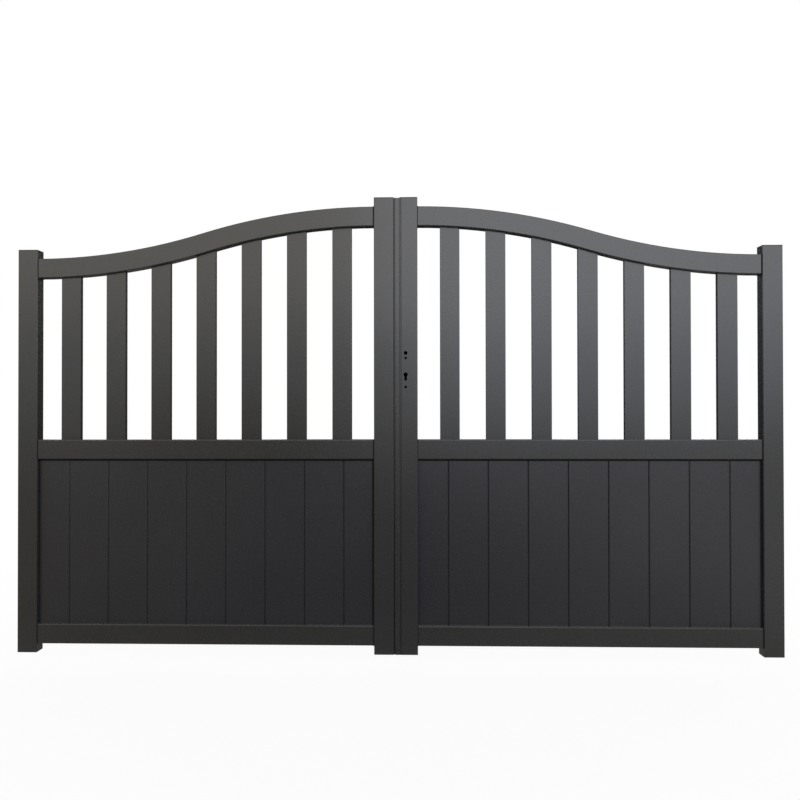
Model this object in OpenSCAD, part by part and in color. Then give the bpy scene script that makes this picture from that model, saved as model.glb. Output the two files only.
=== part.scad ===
// Two-leaf aluminium swing gate with a swan-neck top.
// Open slats stand above the middle rail and tongue-and-groove boards close the part below it.
// Millimetres. +X runs along the opening, +Y to the inside of the drive, +Z up.
// The origin is the centre of the lower left hinge plate, on the face that bolts to the pillar.

/* [Leaves] */
// Width between the two stiles of a leaf
inner_w = 1341; // [1100:1:1650]
// Height of a hanging stile over its caps
hanging_h = 1600; // [1450:1:1650]
// Rise of the swan neck, by which a meeting stile is taller than a hanging stile
neck_rise = 198; // [80:1:220]

/* [Stiles and rails] */
// Width of a stile across the front
stile_w = 78; // [60:1:100]
// Width of the right meeting stile, which holds the lock
lock_stile_w = 66; // [58:1:90]
// Depth of a stile from front to back
stile_d = 50; // [46:1:60]
// Height of a rail across the front
rail_h = 77; // [60:1:90]
// Depth of a rail from front to back
rail_d = 44; // [36:1:46]
// Wall of the stile and rail extrusions
wall = 2.5; // [1.5:0.1:4]
// Radius of the extrusions' long edges
edge_r = 3; // [1:0.5:5]
// Height of the bottom rail's underside above the stile ends
bottom_rail_z = 34; // [20:1:80]
// Height of the middle rail's top above the stile ends
middle_rail_top = 843; // [700:1:950]
// Height of a stile's end above the top rail's upper edge
stile_horn = 35; // [20:1:60]
// Thickness of a stile's end cap
cap_t = 3; // [2:0.5:6]
// Depth that an end cap's plug reaches into the stile
cap_plug = 14; // [8:1:25]

/* [Slats] */
// Slats in each leaf
slat_count = 7; // [5:1:8]
// Width of a slat
slat_w = 77; // [50:1:90]
// Thickness of a slat
slat_t = 20; // [14:1:22]
// Open space between a stile and the slat next to it
slat_end_gap = 89; // [50:1:110]
// Wall of a slat extrusion
slat_wall = 1.6; // [1.2:0.1:2.5]
// Length of a slat's end inside a rail
slat_seat = 28; // [15:1:34]
// Distance of the slat and board faces behind the stile face
infill_back = 19; // [15:0.5:20]

/* [Boards] */
// Boards in each leaf
board_count = 9; // [7:1:9]
// Width in view of the first and the last board, which are sawn to fit
board_end_w = 121; // [60:1:150]
// Thickness of a board
board_t = 16; // [14:0.5:20]
// Wall of a board extrusion
board_wall = 1.6; // [1.2:0.1:2.5]
// Depth that the boards stand in the rails and stiles
board_seat = 12; // [8:1:20]
// Chamfer that makes the V at a board joint
board_v = 3; // [1.5:0.5:4]
// Length of a board's tongue
tongue_l = 7; // [5:0.5:9]
// Thickness of a board's tongue
tongue_t = 5; // [3:0.5:6]

/* [Hinges] */
// Gap from the pillar face to the hanging stile
hinge_gap = 25; // [20:1:40]
// Height of the lower hinge's middle above the stile ends
hinge_low = 250; // [150:1:450]
// Distance of the upper hinge's middle below the hanging stile's top
hinge_drop = 270; // [180:1:450]
// Diameter of a hinge pin
pin_d = 16; // [12:1:20]
// Distance of the pin's axis from the stile's outer edge
pin_inset = 15; // [10:1:30]
// Distance of the pin's axis behind the stile's back face
pin_back = 20; // [19:1:30]
// Outer diameter of a hinge barrel
barrel_d = 28; // [25:1:32]
// Width of a hinge strap on the back of the stile
strap_w = 60; // [40:1:62]
// Thickness of a hinge strap
strap_t = 6; // [4:0.5:8]
// Depth of a hinge plate along the pillar face
plate_d = 70; // [60:1:100]
// Height of a hinge plate
plate_h = 180; // [150:1:240]
// Thickness of a hinge plate
plate_t = 6; // [4:0.5:10]
// Distance of the hinge plate's middle behind the pin's axis
plate_back = 25; // [22:1:40]
// Thickness of a hinge plate's lug
lug_t = 12; // [8:1:16]
// Length of a hinge plate beyond each of its lugs
plate_tail = 32.4; // [24:0.1:60]
// Diameter of a hole in a hinge plate
plate_hole_d = 11; // [9:0.5:14]
// Distance between a hinge plate's holes along the pillar's depth
plate_hole_y = 44; // [40:1:70]
// Distance of a hinge plate's holes from its upper and lower ends
plate_hole_edge = 20; // [12:1:24]
// Overhang of a pin's head all round the pin
pin_head_lip = 2; // [1:0.5:4]
// Thickness of a pin's head
pin_head_t = 4; // [2:0.5:8]

/* [Meeting strip] */
// Width of the meeting strip's face across the front
strip_w = 19; // [12:0.5:30]
// Wall of the meeting strip extrusion
strip_t = 2.5; // [2:0.5:4]
// Depth of the meeting strip behind the stile face
strip_d = 44; // [40:1:48]
// Distance of the meeting strip's face in front of the stile face
strip_proud = 2; // [0:0.5:4]
// Distance of the lower end of the meeting strip's face above the stile ends
strip_low = 21; // [5:1:60]
// Distance of the upper end of the meeting strip's face below the stile top
strip_high = 5; // [0:1:40]
// Width of the shadow groove between the stile and the strip's face
groove_w = 4; // [3:0.5:10]
// Depth of the shadow groove
groove_d = 9; // [6:0.5:10]

/* [Lock] */
// Height of the handle spindle above the stile ends
spindle_z = 1184; // [1050:1:1250]
// Distance of the lock holes from the stile's meeting edge
lock_backset = 19; // [16:1:30]
// Diameter of the spindle hole
spindle_d = 15; // [12:0.5:18]
// Distance of the cylinder hole below the spindle
lock_centres = 85; // [72:1:92]
// Diameter of the round part of the cylinder hole
cylinder_d = 17; // [16:0.5:18]
// Width of the tail of the cylinder hole
cylinder_tail_w = 10; // [9:0.5:12]
// Overall height of the cylinder hole
cylinder_h = 33; // [30:0.5:36]
// Diameter of a handle screw hole
screw_d = 10.5; // [8:0.5:12]
// Distance of the upper handle screw below the spindle
screw_drop = 20; // [19:0.5:30]
// Distance between the two handle screws
screw_pitch = 114; // [105:1:125]
// Height of the lock's front plate
lock_plate_h = 240; // [200:1:280]
// Width of the lock's front plate and of its keep
lock_plate_w = 22; // [18:1:24]
// Thickness of the lock's front plate
lock_plate_t = 3; // [2:0.5:4]
// Thickness of the lock case
lock_case_t = 16; // [14:1:20]
// Space between the lock case and the stile's inner wall
lock_case_gap = 10; // [4:1:14]
// Height of the lock case
lock_case_h = 200; // [196:1:220]
// Height of the keep on the other stile
keep_h = 190; // [160:1:240]
// Width of a bolt opening in the keep
bolt_w = 14; // [10:1:16]
// Height of a bolt opening in the keep
bolt_h = 34; // [24:1:40]

/* [Fits] */
// Clearance all round a seated slat, board or plate
fit_gap = 0.3; // [0.2:0.05:0.4]
// Clearance between a pin and its barrel on the radius
pin_gap = 0.05; // [0.02:0.01:0.1]
// Clearance between a barrel and the lugs above and below it
lug_gap = 0.6; // [0.3:0.1:2]
// Clearance between a lug and the hinge strap
strap_gap = 2; // [1:0.5:4]
// Clearance between the two closed leaves, and at each end of a hinge strap
swing_gap = 5; // [5:0.5:8]

/* [Hidden] */
$fn = 48;
arc_fn = 720;
corner_steps = 4;
cut = 1;

// Driven sizes of a leaf
rail_back = (stile_d - rail_d) / 2;
meeting_u = stile_w + inner_w;
left_edge_u = meeting_u + stile_w;
strip_edge_u = left_edge_u + groove_w + strip_w;
right_edge_u = meeting_u + lock_stile_w;
opening_w = 2 * hinge_gap + strip_edge_u + swing_gap + right_edge_u;
bottom_rail_top = bottom_rail_z + rail_h;
middle_rail_z = middle_rail_top - rail_h;
slat_pitch = (inner_w - 2 * slat_end_gap - slat_w) / (slat_count - 1);
board_pitch = (inner_w - 2 * board_end_w) / (board_count - 2);
meeting_h = hanging_h + neck_rise;
neck_r = (inner_w * inner_w + neck_rise * neck_rise) / (4 * neck_rise);
neck_a = 2 * atan(neck_rise / inner_w);
neck_z0 = hanging_h - stile_horn - rail_h / 2;
neck_z1 = neck_z0 + neck_rise;

// Driven places of the hinges
hinge_high = hanging_h - hinge_drop;
pin_x = hinge_gap + pin_inset;
pin_y = -plate_back;
front_y = pin_y - pin_back - stile_d;
barrel_l = plate_h - 2 * (plate_tail + lug_t + lug_gap);
plate_hole_z = plate_h - 2 * plate_hole_edge;
lug_r = pin_back - strap_t - strap_gap;
lug_z = barrel_l / 2 + lug_gap;
pin_head_r = pin_d / 2 + pin_head_lip;
strap_h = barrel_l - 2 * swing_gap;

// Driven places of the lock
lock_u = right_edge_u - lock_backset;
lock_case_w = lock_stile_w - wall - lock_plate_t - lock_case_gap;
cylinder_z = spindle_z - lock_centres;
lock_mid_z = spindle_z - lock_centres / 2;
lock_mid_v = stile_d / 2;
bolt_zs = [lock_mid_z + lock_centres / 2, lock_mid_z - lock_centres / 2];

SIDES = ["left", "right"];
FRAME_NODES = ["hanging_stile", "meeting_stile", "top_rail", "middle_rail", "bottom_rail"];
SLAT_NODES = [for (i = [1:slat_count]) str("slat_", i)];
LEAF_NODES = concat(FRAME_NODES, SLAT_NODES, ["boards", "stile_caps", "hinge_eyes"]);

coat = [0.27, 0.28, 0.29];
coat_dark = [0.20, 0.205, 0.21];
bright_steel = [0.60, 0.61, 0.62];
dark_steel = [0.12, 0.12, 0.125];

function meeting_w(side) = side == "left" ? stile_w : lock_stile_w;
function slat_u(i) = stile_w + slat_end_gap + slat_w / 2 + (i - 1) * slat_pitch;
function joint_u(i) = stile_w + board_end_w + (i - 1) * board_pitch;

// Height of the top rail's underside at a distance along the leaf
function neck_under_z(u) =
    let (s = u - stile_w)
    s < inner_w / 2
        ? neck_z0 + neck_r - sqrt(pow(neck_r + rail_h / 2, 2) - s * s)
        : neck_z1 - neck_r + sqrt(pow(neck_r - rail_h / 2, 2) - pow(inner_w - s, 2));

// Corner points of a rectangle whose corners are rounded
function corner_points(x, y, r, a) =
    [for (k = [0:corner_steps]) let (t = a + 90 * k / corner_steps) [x + r * cos(t), y + r * sin(t)]];
function rounded_points(w, d, r) = concat(
    corner_points(w - r, d - r, r, 0),
    corner_points(r, d - r, r, 90),
    corner_points(r, r, r, 180),
    corner_points(w - r, r, r, 270)
);

// Rectangular tube seen from its end
module tube_section(w, d, t) {
    difference() {
        polygon(rounded_points(w, d, edge_r));
        translate([t, t]) square([w - 2 * t, d - 2 * t]);
    }
}

// A leaf is drawn with u along X from its hanging edge, v along Y from the stile face and w up
module on_leaf(side) {
    if (side == "left") {
        translate([hinge_gap, front_y, -hinge_low]) children();
    } else {
        translate([opening_w - hinge_gap, front_y, -hinge_low]) mirror([1, 0, 0]) children();
    }
}

module upright(w, h) {
    translate([0, 0, cap_t]) linear_extrude(h - 2 * cap_t) tube_section(w, stile_d, wall);
}

// Slot in a stile's inner wall that takes the edge of the end board
module board_edge_slot(u) {
    translate([u, infill_back - fit_gap, bottom_rail_top - board_seat - fit_gap])
        cube([
            wall + 2 * cut,
            board_t + 2 * fit_gap,
            middle_rail_z - bottom_rail_top + 2 * (board_seat + fit_gap)
        ]);
}

module hanging_stile() {
    difference() {
        upright(stile_w, hanging_h);
        board_edge_slot(stile_w - wall - cut);
    }
}

// The right meeting stile is drilled for the lock in its front and cut out for the lock's plate
module meeting_stile(side) {
    difference() {
        translate([meeting_u, 0, 0]) upright(meeting_w(side), meeting_h);
        board_edge_slot(meeting_u - cut);
        if (side == "right") {
            translate([0, -cut, 0]) lock_holes(wall + 2 * cut);
            lock_plate_block(right_edge_u - wall - cut, wall + 2 * cut, fit_gap);
        }
    }
}

// The four holes for a lever handle and a lock cylinder, drilled along v
module lock_holes(depth) {
    translate([lock_u, 0, spindle_z]) drill(spindle_d, depth);
    translate([lock_u, 0, spindle_z - screw_drop]) drill(screw_d, depth);
    translate([lock_u, 0, spindle_z - screw_drop - screw_pitch]) drill(screw_d, depth);
    translate([lock_u, 0, cylinder_z]) drill(cylinder_d, depth);
    tail_z = cylinder_h - cylinder_d / 2 - cylinder_tail_w / 2;
    translate([lock_u, 0, cylinder_z - tail_z]) drill(cylinder_tail_w, depth);
    translate([lock_u - cylinder_tail_w / 2, 0, cylinder_z - tail_z]) cube([cylinder_tail_w, depth, tail_z]);
}

module drill(d, depth) {
    rotate([-90, 0, 0]) cylinder(d = d, h = depth);
}

// Front plate of the lock, with an optional clearance all round
module lock_plate_block(u, t, gap) {
    translate([u, lock_mid_v - lock_plate_w / 2 - gap, lock_mid_z - lock_plate_h / 2 - gap])
        cube([t, lock_plate_w + 2 * gap, lock_plate_h + 2 * gap]);
}

// Half of the swan neck: a tube bent round an arc that starts at angle a
module neck_arc(u, z, a) {
    translate([u, rail_back + rail_d, z]) rotate([90, 0, 0]) rotate([0, 0, a])
        rotate_extrude(angle = neck_a, $fn = arc_fn)
            translate([neck_r - rail_h / 2, 0]) tube_section(rail_h, rail_d, wall);
}

module top_rail() {
    difference() {
        union() {
            neck_arc(stile_w, neck_z0 + neck_r, 270);
            neck_arc(meeting_u, neck_z1 - neck_r, 90);
        }
        for (i = [1:slat_count]) slat_body(i, fit_gap);
    }
}

module straight_rail(z) {
    translate([stile_w, rail_back, z]) rotate([90, 0, 90])
        linear_extrude(inner_w) tube_section(rail_d, rail_h, wall);
}

// Slot along a rail that takes the ends of the boards
module board_end_slot(z) {
    translate([stile_w - cut, infill_back - fit_gap, z - cut])
        cube([inner_w + 2 * cut, board_t + 2 * fit_gap, wall + 2 * cut]);
}

module middle_rail() {
    difference() {
        straight_rail(middle_rail_z);
        board_end_slot(middle_rail_z);
        for (i = [1:slat_count]) slat_body(i, fit_gap);
    }
}

module bottom_rail() {
    difference() {
        straight_rail(bottom_rail_z);
        board_end_slot(bottom_rail_top - wall);
    }
}

// Outline of a slat, with its top sawn to the slope of the swan neck
module slat_body(i, gap) {
    u0 = slat_u(i) - slat_w / 2 - gap;
    u1 = slat_u(i) + slat_w / 2 + gap;
    translate([0, infill_back + slat_t + gap, 0]) rotate([90, 0, 0])
        linear_extrude(slat_t + 2 * gap) polygon([
            [u0, middle_rail_top - slat_seat - gap],
            [u1, middle_rail_top - slat_seat - gap],
            [u1, neck_under_z(u1) + slat_seat + gap],
            [u0, neck_under_z(u0) + slat_seat + gap]
        ]);
}

module slat(i) {
    top_z = neck_under_z(slat_u(i) + slat_w / 2) + slat_seat + slat_w;
    difference() {
        slat_body(i, 0);
        translate([slat_u(i) - slat_w / 2 + slat_wall, infill_back + slat_wall, middle_rail_top - slat_w])
            cube([slat_w - 2 * slat_wall, slat_t - 2 * slat_wall, top_z - middle_rail_top + slat_w]);
    }
}

// Section of a board between two joints, with a groove on its left edge and a tongue on its right
module board_section(u0, u1, first, last) {
    a = u0 + (first ? 0 : fit_gap);
    b = u1 - (last ? 0 : fit_gap);
    va = first ? 0 : board_v;
    vb = last ? 0 : board_v;
    mid = board_t / 2;
    half_tongue = tongue_t / 2;
    half_groove = half_tongue + fit_gap;
    tongue = last ? [] : [
        [b, mid - half_tongue],
        [b + tongue_l, mid - half_tongue],
        [b + tongue_l, mid + half_tongue],
        [b, mid + half_tongue]
    ];
    groove = first ? [] : [
        [a, mid + half_groove],
        [a + tongue_l, mid + half_groove],
        [a + tongue_l, mid - half_groove],
        [a, mid - half_groove]
    ];
    front = last ? [[b, 0]] : [[b - vb, 0], [b, vb]];
    back_right = last ? [[b, board_t]] : [[b, board_t - vb], [b - vb, board_t]];
    back_left = first ? [[a, board_t]] : [[a + va, board_t], [a, board_t - va]];
    front_left = first ? [[a, 0]] : [[a, va], [a + va, 0]];
    difference() {
        polygon(concat(front, tongue, back_right, back_left, groove, front_left));
        board_chambers(a + tongue_l + board_wall, b - board_v - board_wall);
    }
}

// Two hollows of a board, with a web between them
module board_chambers(u0, u1) {
    chamber_w = (u1 - u0 - board_wall) / 2;
    for (u = [u0, u1 - chamber_w])
        translate([u, board_wall]) square([chamber_w, board_t - 2 * board_wall]);
}

module boards() {
    for (i = [0:board_count - 1]) {
        first = i == 0;
        last = i == board_count - 1;
        u0 = first ? stile_w - board_seat : joint_u(i);
        u1 = last ? meeting_u + board_seat : joint_u(i + 1);
        translate([0, infill_back, bottom_rail_top - board_seat])
            linear_extrude(middle_rail_z - bottom_rail_top + 2 * board_seat)
                board_section(u0, u1, first, last);
    }
}

// End cap with a plug inside the stile; up is 1 for a top cap and -1 for a bottom cap
module stile_cap(u, w, z, up) {
    plug_gap = wall + fit_gap;
    translate([u, 0, z]) mirror([0, 0, up > 0 ? 0 : 1]) {
        translate([0, 0, -cap_t]) linear_extrude(cap_t) polygon(rounded_points(w, stile_d, edge_r));
        translate([plug_gap, plug_gap, -cap_t - cap_plug])
            cube([w - 2 * plug_gap, stile_d - 2 * plug_gap, cap_plug + cap_t]);
    }
}

module stile_caps(side) {
    stile_cap(0, stile_w, hanging_h, 1);
    stile_cap(0, stile_w, 0, -1);
    stile_cap(meeting_u, meeting_w(side), meeting_h, 1);
    stile_cap(meeting_u, meeting_w(side), 0, -1);
}

// Strap and barrel of one hinge, on the back of the hanging stile
module hinge_eye(z) {
    translate([0, stile_d, z]) difference() {
        union() {
            translate([pin_inset - barrel_d / 2, 0, -strap_h / 2]) cube([strap_w, strap_t, strap_h]);
            translate([pin_inset - barrel_d / 2, 0, -strap_h / 2]) cube([barrel_d, pin_back, strap_h]);
            translate([pin_inset, pin_back, -barrel_l / 2]) cylinder(d = barrel_d, h = barrel_l);
        }
        translate([pin_inset, pin_back, -barrel_l / 2 - cut])
            cylinder(r = pin_d / 2 + pin_gap, h = barrel_l + 2 * cut);
    }
}

module hinge_eyes() {
    hinge_eye(hinge_low);
    hinge_eye(hinge_high);
}

// Pillar plate with two lugs and the fixed pin between them
module hinge_bracket() {
    difference() {
        translate([0, -plate_d / 2, -plate_h / 2]) cube([plate_t, plate_d, plate_h]);
        for (y = [-1, 1], z = [-1, 1])
            translate([-cut, y * plate_hole_y / 2, z * plate_hole_z / 2]) rotate([0, 90, 0])
                cylinder(d = plate_hole_d, h = plate_t + 2 * cut);
    }
    for (up = [0, 1]) mirror([0, 0, up]) translate([0, pin_y, lug_z]) {
        translate([plate_t, -lug_r, 0]) cube([pin_x - plate_t, 2 * lug_r, lug_t]);
        translate([pin_x, 0, 0]) cylinder(r = lug_r, h = lug_t);
        translate([pin_x, 0, lug_t]) cylinder(r = pin_head_r, h = pin_head_t);
    }
    translate([pin_x, pin_y, -lug_z - lug_t]) cylinder(d = pin_d, h = 2 * (lug_z + lug_t));
}

module bracket(side, level) {
    z = level == "lower" ? 0 : hinge_high - hinge_low;
    if (side == "left") {
        translate([0, 0, z]) hinge_bracket();
    } else {
        translate([opening_w, 0, z]) mirror([1, 0, 0]) hinge_bracket();
    }
}

// Front of the meeting strip, a shallow channel whose edges are rounded
module strip_face() {
    face_d = groove_d + strip_proud;
    translate([0, -strip_proud]) difference() {
        intersection() {
            polygon(rounded_points(strip_w, 2 * face_d, edge_r));
            square([strip_w, face_d]);
        }
        translate([strip_t, strip_t]) square([strip_w - 2 * strip_t, face_d]);
    }
}

// Hollow body on the edge of the left meeting stile that closes the space between the leaves.
// It is set back by the shadow groove. Its proud face ends on a foot that is flush with the stile.
module meeting_strip() {
    body_w = groove_w + strip_w;
    body_d = strip_d - groove_d;
    difference() {
        union() {
            translate([left_edge_u, groove_d, 0]) cube([body_w, body_d, meeting_h]);
            translate([left_edge_u + groove_w, 0, strip_low])
                linear_extrude(meeting_h - strip_low - strip_high) strip_face();
            translate([left_edge_u + groove_w, 0, 0]) cube([strip_w, groove_d, strip_low]);
        }
        translate([left_edge_u + strip_t, groove_d + strip_t, strip_t])
            cube([body_w - 2 * strip_t, body_d - 2 * strip_t, meeting_h - 2 * strip_t]);
        keep_block(strip_edge_u - strip_t - cut, strip_t + 2 * cut, fit_gap);
    }
}

module keep_block(u, t, gap) {
    translate([u, lock_mid_v - lock_plate_w / 2 - gap, lock_mid_z - keep_h / 2 - gap])
        cube([t, lock_plate_w + 2 * gap, keep_h + 2 * gap]);
}

// Keep for the lock's bolts, let into the meeting strip
module lock_keep() {
    difference() {
        keep_block(strip_edge_u - strip_t, strip_t, 0);
        for (z = bolt_zs)
            translate([strip_edge_u - strip_t - cut, lock_mid_v - bolt_w / 2, z - bolt_h / 2])
                cube([strip_t + 2 * cut, bolt_w, bolt_h]);
    }
}

// Lock behind the holes of the right meeting stile, with its front plate flush in the stile's edge
module lock_case() {
    case_v = lock_mid_v - lock_case_t / 2;
    lock_plate_block(right_edge_u - lock_plate_t, lock_plate_t, 0);
    difference() {
        translate([right_edge_u - lock_plate_t - lock_case_w, case_v, lock_mid_z - lock_case_h / 2])
            cube([lock_case_w, lock_case_t, lock_case_h]);
        translate([0, case_v - cut, 0]) lock_holes(lock_case_t / 2 + cut);
    }
}

module leaf_piece(side, name) {
    if (name == "hanging_stile") color(coat) hanging_stile();
    if (name == "meeting_stile") color(coat) meeting_stile(side);
    if (name == "top_rail") color(coat) top_rail();
    if (name == "middle_rail") color(coat) middle_rail();
    if (name == "bottom_rail") color(coat) bottom_rail();
    for (i = [1:slat_count]) if (name == SLAT_NODES[i - 1]) color(coat) slat(i);
    if (name == "boards") color(coat) boards();
    if (name == "stile_caps") color(coat_dark) stile_caps(side);
    if (name == "hinge_eyes") color(bright_steel) hinge_eyes();
}

for (s = SIDES, n = LEAF_NODES)
    on_leaf(s) leaf_piece(s, n);
for (s = SIDES, h = ["lower", "upper"])
    color(bright_steel) bracket(s, h);
on_leaf("left") color(coat) meeting_strip();  // left_meeting_strip
on_leaf("left") color(bright_steel) lock_keep();  // left_lock_keep
on_leaf("right") color(dark_steel) lock_case();  // right_lock_case
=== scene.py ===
"""Dress and light a pair of powder-coated aluminium driveway gate leaves.

Lengths are metres in the part's own frame: X runs along the opening, Y to the inside of the drive
and Z up.
"""
import logging
import math
from dataclasses import dataclass
from enum import Enum
from typing import Any, Iterable, Optional

import bpy
from mathutils import Matrix, Vector

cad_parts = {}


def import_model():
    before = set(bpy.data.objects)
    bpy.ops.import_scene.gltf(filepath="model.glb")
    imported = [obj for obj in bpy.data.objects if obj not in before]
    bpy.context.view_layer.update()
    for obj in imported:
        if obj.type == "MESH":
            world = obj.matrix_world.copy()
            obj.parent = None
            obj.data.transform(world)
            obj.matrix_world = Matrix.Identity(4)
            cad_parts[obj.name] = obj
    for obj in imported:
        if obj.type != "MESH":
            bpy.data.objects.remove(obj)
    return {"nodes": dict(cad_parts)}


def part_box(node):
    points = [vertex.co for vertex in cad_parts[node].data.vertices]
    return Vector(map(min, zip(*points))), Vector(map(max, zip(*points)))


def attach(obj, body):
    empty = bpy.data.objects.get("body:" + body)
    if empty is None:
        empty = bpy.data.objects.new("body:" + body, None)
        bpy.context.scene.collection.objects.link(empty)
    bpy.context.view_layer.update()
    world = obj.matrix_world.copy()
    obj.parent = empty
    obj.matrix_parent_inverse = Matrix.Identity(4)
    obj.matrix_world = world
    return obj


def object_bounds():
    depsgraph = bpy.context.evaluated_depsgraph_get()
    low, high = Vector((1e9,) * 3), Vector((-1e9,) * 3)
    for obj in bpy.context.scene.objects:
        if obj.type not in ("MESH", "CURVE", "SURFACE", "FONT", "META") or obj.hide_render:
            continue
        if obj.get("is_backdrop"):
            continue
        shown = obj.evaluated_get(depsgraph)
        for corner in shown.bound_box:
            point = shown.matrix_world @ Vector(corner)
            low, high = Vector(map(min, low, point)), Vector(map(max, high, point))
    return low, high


LOG = logging.getLogger("gate")
MM = 0.001
# Vertices closer than this are one vertex
MERGE = 0.001 * MM
# A hung gate clears the ground by this much
FLOOR_DROP = 50 * MM
WHITE = "#ffffff"


class Side(Enum):
    """A leaf of the gate, with the sign of the way from its hinges to the other leaf."""

    LEFT = 1
    RIGHT = -1

    @property
    def key(self) -> str:
        """Name of the side as the nodes spell it."""
        return self.name.lower()

    @property
    def body(self) -> str:
        """Name of the body that this leaf's pieces ride on."""
        return f"{self.key}_leaf"


class Level(Enum):
    """A hinge of a leaf, by its height."""

    LOWER = "lower"
    UPPER = "upper"


def linear(code: str) -> tuple[float, float, float, float]:
    """Turn an sRGB hex colour into linear RGBA.

    Args:
        code: A colour such as "#2b2c2e".

    Returns:
        The four channels, with an alpha of one.
    """
    channels = [int(code[i : i + 2], 16) / 255 for i in (1, 3, 5)]
    red, green, blue = (
        c / 12.92 if c <= 0.04045 else ((c + 0.055) / 1.055) ** 2.4 for c in channels
    )
    return red, green, blue, 1.0


def per_metre(size_mm: float) -> float:
    """Scale of a pattern on Object coordinates whose features are this many millimetres apart."""
    return 1000.0 / size_mm


def add_node(
    tree: bpy.types.NodeTree,
    kind: str,
    inputs: Optional[dict[str | int, Any]] = None,
    **settings: Any,
) -> bpy.types.Node:
    """Add a node to a tree, with its settings, values and links.

    Args:
        tree: The tree that gets the node.
        kind: The node's Blender type.
        inputs: For each input by name or number, the output socket to link or the value to set.
        settings: The node's own properties.

    Returns:
        The new node.
    """
    node = tree.nodes.new(kind)
    for name, value in settings.items():
        setattr(node, name, value)
    for key, value in (inputs or {}).items():
        if isinstance(value, bpy.types.NodeSocket):
            tree.links.new(value, node.inputs[key])
        else:
            node.inputs[key].default_value = value
    return node


def new_material(
    name: str,
) -> tuple[bpy.types.Material, bpy.types.NodeTree, bpy.types.Node, bpy.types.NodeSocket]:
    """Make an empty node material.

    Args:
        name: The material's common name and finish.

    Returns:
        The material, its tree, its output node and the Object coordinates.
    """
    material = bpy.data.materials.new(name)
    material.use_nodes = True
    tree = material.node_tree
    tree.nodes.clear()
    output = add_node(tree, "ShaderNodeOutputMaterial")
    place = add_node(tree, "ShaderNodeTexCoord").outputs["Object"]
    return material, tree, output, place


@dataclass(frozen=True)
class PowderCoat:
    """Satin polyester powder coat, sprayed on and stoved."""

    name: str = "satin dark grey powder coat"
    colour: str = "#292929"
    pale: str = "#303030"
    # Pale colour of the dust on what faces up, which also paints the highlight from above there
    dust: str = "#525250"
    roughness: float = 0.25
    spread: float = 0.04
    ior: float = 1.5
    # The grit of the powder is under 1 mm; it is drawn at 5 mm so that it shows in the render
    grain_mm: float = 5.0
    # Orange peel and the slight wave of a long extrusion
    wave_mm: float = 90.0
    # Slow change of tone from one spray pass to the next
    pass_mm: float = 420.0
    # Dust, with a painted highlight, lies where the normal points up by more than this, and hides
    # at most this share
    dust_from: float = 0.6
    dust_most: float = 0.7
    # The part of the grain's range that is spread over the gloss
    grain_low: float = 0.3
    grain_high: float = 0.7
    wave_rise: float = 0.4 * MM
    wave_strength: float = 0.25
    grain_rise: float = 0.06 * MM
    grain_strength: float = 0.2

    def material(self) -> bpy.types.Material:
        """Build the coat: an even dark film that breaks up reflections a little.

        Returns:
            The material.
        """
        material, tree, output, place = new_material(self.name)
        tone, grain, wave = (
            add_node(
                tree,
                "ShaderNodeTexNoise",
                {"Vector": place, "Scale": per_metre(size_mm), "Detail": detail},
            ).outputs["Fac"]
            for size_mm, detail in ((self.pass_mm, 2.0), (self.grain_mm, 3.0), (self.wave_mm, 1.0))
        )
        film = add_node(
            tree,
            "ShaderNodeMix",
            {"Factor": tone, "A": linear(self.colour), "B": linear(self.pale)},
            data_type="RGBA",
        )
        # Fine dust lies on what faces up and shows as a paler ledge; its pale colour also paints
        # the highlight that the light from above puts on the ledges
        normal = add_node(tree, "ShaderNodeNewGeometry").outputs["Normal"]
        facing = add_node(tree, "ShaderNodeSeparateXYZ", {"Vector": normal})
        dust_and_highlight_share = add_node(
            tree,
            "ShaderNodeMapRange",
            {
                "Value": facing.outputs["Z"],
                "From Min": self.dust_from,
                "From Max": 1.0,
                "To Min": 0.0,
                "To Max": self.dust_most,
            },
        )
        dusty_and_lit_film = add_node(
            tree,
            "ShaderNodeMix",
            {
                "Factor": dust_and_highlight_share.outputs["Result"],
                "A": film.outputs["Result"],
                "B": linear(self.dust),
            },
            data_type="RGBA",
        )
        gloss = add_node(
            tree,
            "ShaderNodeMapRange",
            {
                "Value": grain,
                "From Min": self.grain_low,
                "From Max": self.grain_high,
                "To Min": self.roughness - self.spread,
                "To Max": self.roughness + self.spread,
            },
        )
        broad = add_node(
            tree,
            "ShaderNodeBump",
            {"Height": wave, "Strength": self.wave_strength, "Distance": self.wave_rise},
        )
        fine = add_node(
            tree,
            "ShaderNodeBump",
            {
                "Height": grain,
                "Strength": self.grain_strength,
                "Distance": self.grain_rise,
                "Normal": broad.outputs["Normal"],
            },
        )
        shader = add_node(
            tree,
            "ShaderNodeBsdfPrincipled",
            {
                "Base Color": dusty_and_lit_film.outputs["Result"],
                "Roughness": gloss.outputs["Result"],
                "IOR": self.ior,
                "Normal": fine.outputs["Normal"],
            },
        )
        tree.links.new(shader.outputs["BSDF"], output.inputs["Surface"])
        return material


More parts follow.
